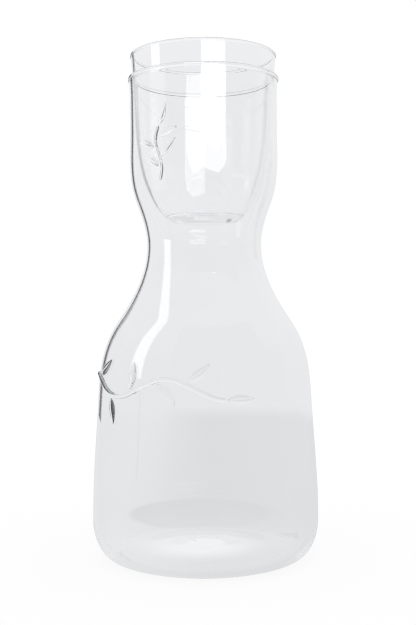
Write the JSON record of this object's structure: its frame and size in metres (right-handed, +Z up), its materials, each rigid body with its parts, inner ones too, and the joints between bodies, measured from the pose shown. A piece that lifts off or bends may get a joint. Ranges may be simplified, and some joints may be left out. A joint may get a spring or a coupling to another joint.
{
  "type": "carafe with cup",
  "caption": "Waisted blown-glass carafe with an upright head and a tapered cup that rests in its mouth; leafy glass trails on head and body.",
  "frame": {"origin": "middle of the foot, on the surface that the carafe stands on", "axes": "+Z up along the carafe's axis; the decorated front faces -Y; +X is to the right seen from the front"},
  "size_m": [0.11, 0.11, 0.2433],
  "materials": {
    "clear_glass": "clear blown glass, fire-polished, very slightly wavy",
    "trail_glass": "clear glass trails, laid on hot and fused to the wall"
  },
  "bodies": {
    "carafe": {"carafe": "clear_glass", "twig_stem": "trail_glass", "twig_leaf_1": "trail_glass", "twig_leaf_2": "trail_glass", "twig_leaf_3": "trail_glass", "twig_leaf_4": "trail_glass", "twig_leaf_5": "trail_glass", "vine_stem": "trail_glass", "vine_leaf_1": "trail_glass", "vine_leaf_2": "trail_glass", "vine_leaf_3": "trail_glass", "vine_leaf_4": "trail_glass", "vine_leaf_5": "trail_glass", "vine_leaf_6": "trail_glass"},
    "cup": {"cup": "clear_glass"}
  },
  "joints": [
    {"name": "cup_lift", "type": "slide", "parent": "carafe", "child": "cup", "axis": [0, 0, 1], "range_m": [0, 0.09]}
  ]
}
